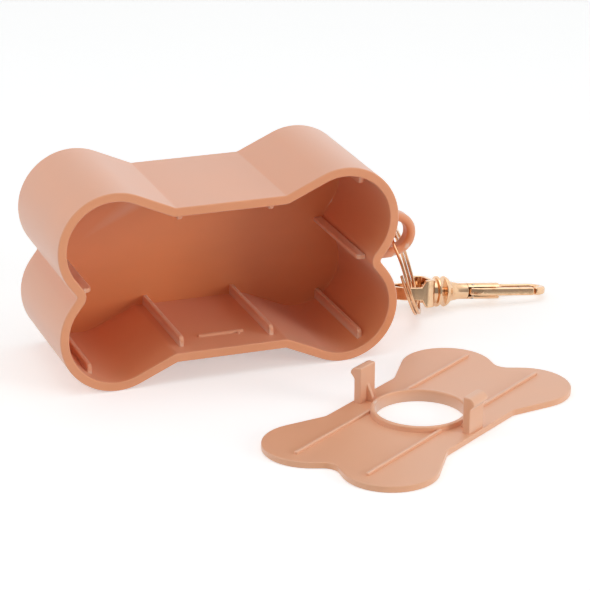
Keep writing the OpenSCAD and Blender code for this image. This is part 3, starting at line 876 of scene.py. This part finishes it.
leaf = piece("leaf_spring", [strip], clip_place)
leaf_steel = plated("bright_spring_steel", (0.66, 0.64, 0.62, 1), (0.5, 0.48, 0.46, 1), 0.25)
leaf.data.materials.append(leaf_steel)
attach(leaf, "hook")
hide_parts("gate_spring")
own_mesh(leaf)


# ---------------------------------------------------------------------------
# Table, light and camera: a white sweep under soft studio light, seen from
# the photograph's viewing angle.
# ---------------------------------------------------------------------------

table_half = 4
table = bmesh.new()
bmesh.ops.create_grid(table, x_segments=1, y_segments=1, size=table_half)
floor = piece("table", [table], Matrix.Translation((0, 0, -case_h / 2)))
white = bpy.data.materials.new("white_table")
white.use_nodes = True
tree = white.node_tree
shader = tree.nodes["Principled BSDF"]
shader.inputs["Base Color"].default_value = (0.88, 0.90, 0.91, 1)
shader.inputs["Roughness"].default_value = 0.6
shader.inputs["Specular IOR Level"].default_value = 0.1
rays = add(tree, "ShaderNodeLightPath")
seen = maths(tree, "MAXIMUM", rays.outputs["Is Camera Ray"], rays.outputs["Is Glossy Ray"])
tree.links.new(maths(tree, "MULTIPLY", seen, 0.40), shader.inputs["Emission Strength"])
shader.inputs["Emission Color"].default_value = (1, 1, 1, 1)
floor.data.materials.append(white)

# the world: white to the camera, a tent for reflections that is darker round the photograph's
# camera, and soft light for everything else
to_camera = (-0.322, -0.877, 0.355)
world = bpy.data.worlds.new("studio")
bpy.context.scene.world = world
world.use_nodes = True
tree = world.node_tree
tree.nodes.clear()
rays = add(tree, "ShaderNodeLightPath")
seen = maths(tree, "MAXIMUM", rays.outputs["Is Camera Ray"], rays.outputs["Is Transmission Ray"])
facing = add(tree, "ShaderNodeVectorMath", operation="DOT_PRODUCT")
tree.links.new(add(tree, "ShaderNodeTexCoord").outputs["Generated"], facing.inputs[0])
facing.inputs[1].default_value = to_camera
dark = add(tree, "ShaderNodeMapRange", Value=facing.outputs["Value"], interpolation_type="SMOOTHSTEP",
           From_Min=0.35, From_Max=0.85, To_Min=1.1, To_Max=0.3)
tent = add(tree, "ShaderNodeBackground", Color=(1, 1, 1, 1), Strength=dark.outputs["Result"])
studio = add(tree, "ShaderNodeBackground", Color=(1.0, 0.98, 0.96, 1), Strength=0.36)
backdrop = add(tree, "ShaderNodeBackground", Color=(1, 1, 1, 1), Strength=1.0)
lit = add(tree, "ShaderNodeMixShader", Fac=rays.outputs["Is Glossy Ray"])
tree.links.new(studio.outputs["Background"], lit.inputs[1])
tree.links.new(tent.outputs["Background"], lit.inputs[2])
mixed = add(tree, "ShaderNodeMixShader")
tree.links.new(seen, mixed.inputs[0])
tree.links.new(lit.outputs["Shader"], mixed.inputs[1])
tree.links.new(backdrop.outputs["Background"], mixed.inputs[2])
tree.links.new(mixed.outputs["Shader"], add(tree, "ShaderNodeOutputWorld").inputs["Surface"])


softbox_aim = Vector((0.02, -0.03, 0))


def softbox(name, at, size, power, glossy=True):
    """A square area lamp that faces the object; glossy says whether it shows in reflections."""
    light = bpy.data.lights.new(name, "AREA")
    light.shape = "SQUARE"
    light.size = size
    light.energy = power
    lamp = bpy.data.objects.new(name, light)
    lamp.location = at
    lamp.rotation_euler = (softbox_aim - Vector(at)).to_track_quat("-Z", "Y").to_euler()
    lamp.visible_glossy = glossy
    bpy.context.scene.collection.objects.link(lamp)


softbox("top_box", at=(0.10, -0.05, 0.75), size=0.8, power=1.6)
softbox("front_box", at=(0.75, -0.80, 0.22), size=0.4, power=3.8, glossy=False)
softbox("left_box", at=(-0.80, 0.0, 0.50), size=0.7, power=1.9)

# the camera, at the place, turn and focal length that were fitted to the photograph
camera_at = Vector((-198.147, -622.406, 229.920)) * mm
turn, tilt, roll = radians(-20.176), radians(20.789), radians(0.28)
sensor_w = 36
focal_length = 163.33
right = Vector((cos(turn), sin(turn), 0))
back = Vector((sin(turn) * cos(tilt), -cos(turn) * cos(tilt), sin(tilt)))
upward = back.cross(right)
rolled_right = cos(roll) * right + sin(roll) * upward
rolled_up = -sin(roll) * right + cos(roll) * upward
lens = bpy.data.cameras.new("photo_camera")
lens.sensor_fit = "HORIZONTAL"
lens.sensor_width = sensor_w
lens.lens = focal_length
camera = bpy.data.objects.new("photo_camera", lens)
pose = Matrix((rolled_right, rolled_up, back)).transposed().to_4x4()
camera.matrix_world = Matrix.Translation(camera_at) @ pose
bpy.context.scene.collection.objects.link(camera)
bpy.context.scene.camera = camera
bpy.context.scene.view_settings.view_transform = "Standard"
